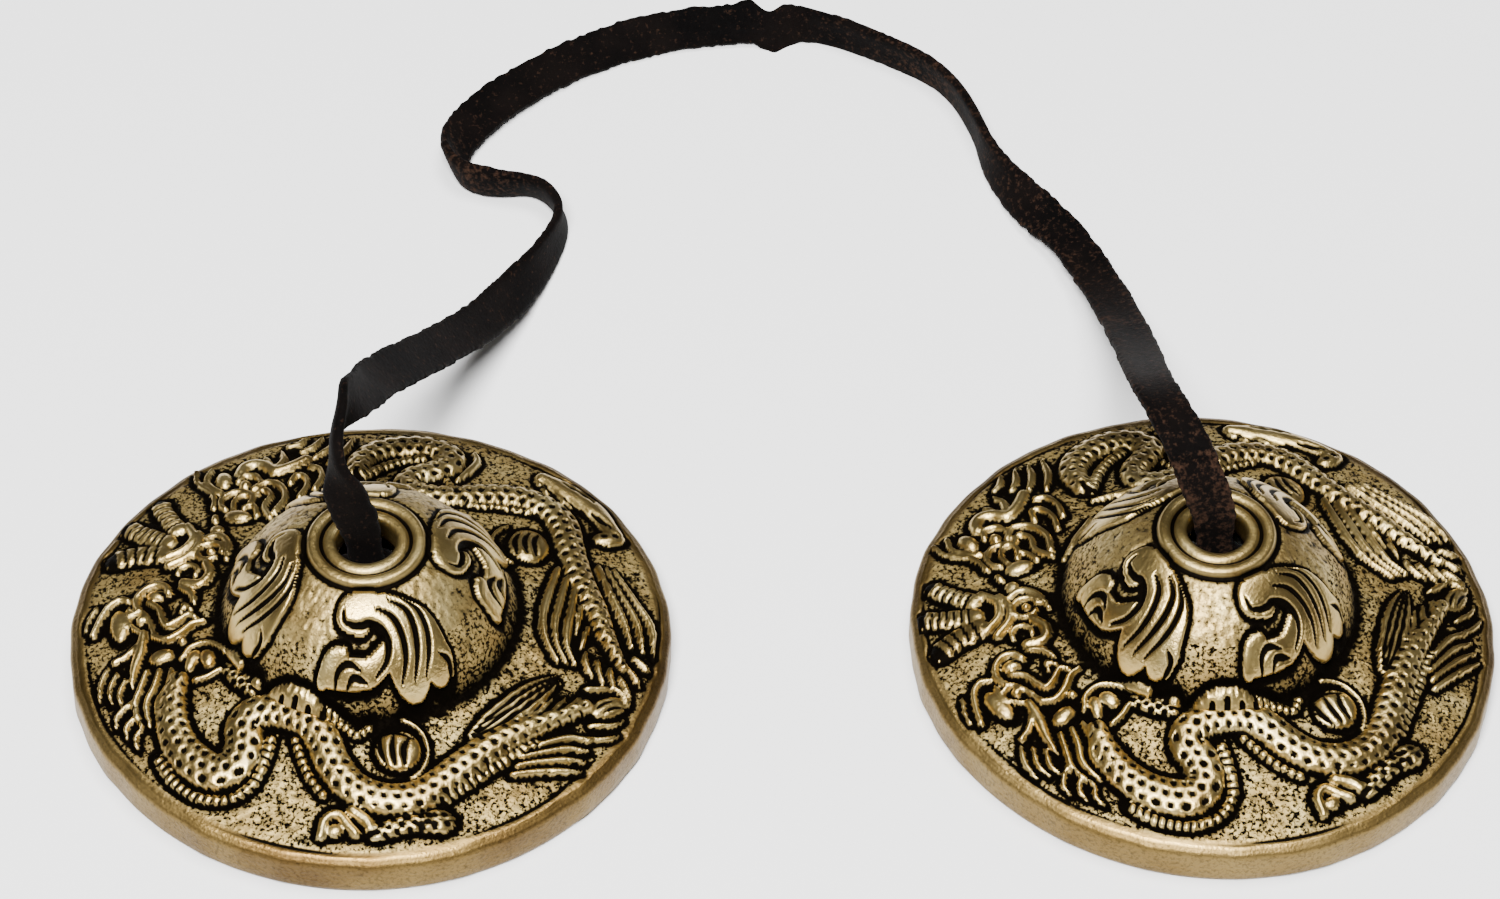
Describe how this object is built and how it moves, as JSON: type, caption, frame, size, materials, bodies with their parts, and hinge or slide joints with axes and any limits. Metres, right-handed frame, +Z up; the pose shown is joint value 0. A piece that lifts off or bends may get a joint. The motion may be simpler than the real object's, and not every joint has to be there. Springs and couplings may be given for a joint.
{
  "type": "finger cymbals",
  "caption": "Pair of cast bronze finger cymbals with domed bosses, joined by a flat leather thong knotted under each boss.",
  "frame": {"origin": "midway between the axes of the two cymbals, on the surface their rims rest on", "axes": "+X from the left cymbal's axis to the right one's, +Y towards the thong behind the pair, +Z up"},
  "size_m": [0.1685, 0.148, 0.0378],
  "materials": {
    "bronze": "satin",
    "leather": "matte"
  },
  "bodies": {
    "left_knot": {"left_stopper_knot": "leather", "left_thong_end": "leather"},
    "left_cymbal": {"left_cymbal": "bronze"},
    "thong": {"thong": "leather"},
    "right_knot": {"right_stopper_knot": "leather", "right_thong_end": "leather"},
    "right_cymbal": {"right_cymbal": "bronze"}
  },
  "joints": [
    {"name": "left_cymbal_spin", "type": "hinge", "parent": "left_knot", "child": "left_cymbal", "pos_m": [-0.04925, 0, 0.0183], "axis": [0, 0, 1], "continuous": true},
    {"name": "thong_lift", "type": "hinge", "parent": "left_knot", "child": "thong", "pos_m": [-0.04925, 0, 0.0255], "axis": [1, 0, 0], "range_deg": [0, 50], "deforming": ["left_thong_end"]},
    {"name": "right_end_bend", "type": "hinge", "parent": "thong", "child": "right_knot", "pos_m": [0.04925, 0, 0.0255], "axis": [1, 0, 0], "range_deg": [-50, 0], "deforming": ["right_thong_end"]},
    {"name": "right_cymbal_spin", "type": "hinge", "parent": "right_knot", "child": "right_cymbal", "pos_m": [0.04925, 0, 0.0183], "axis": [0, 0, 1], "continuous": true}
  ],
  "couplings": [
    {"joint": "right_end_bend", "follows": "thong_lift", "ratio": -1}
  ]
}
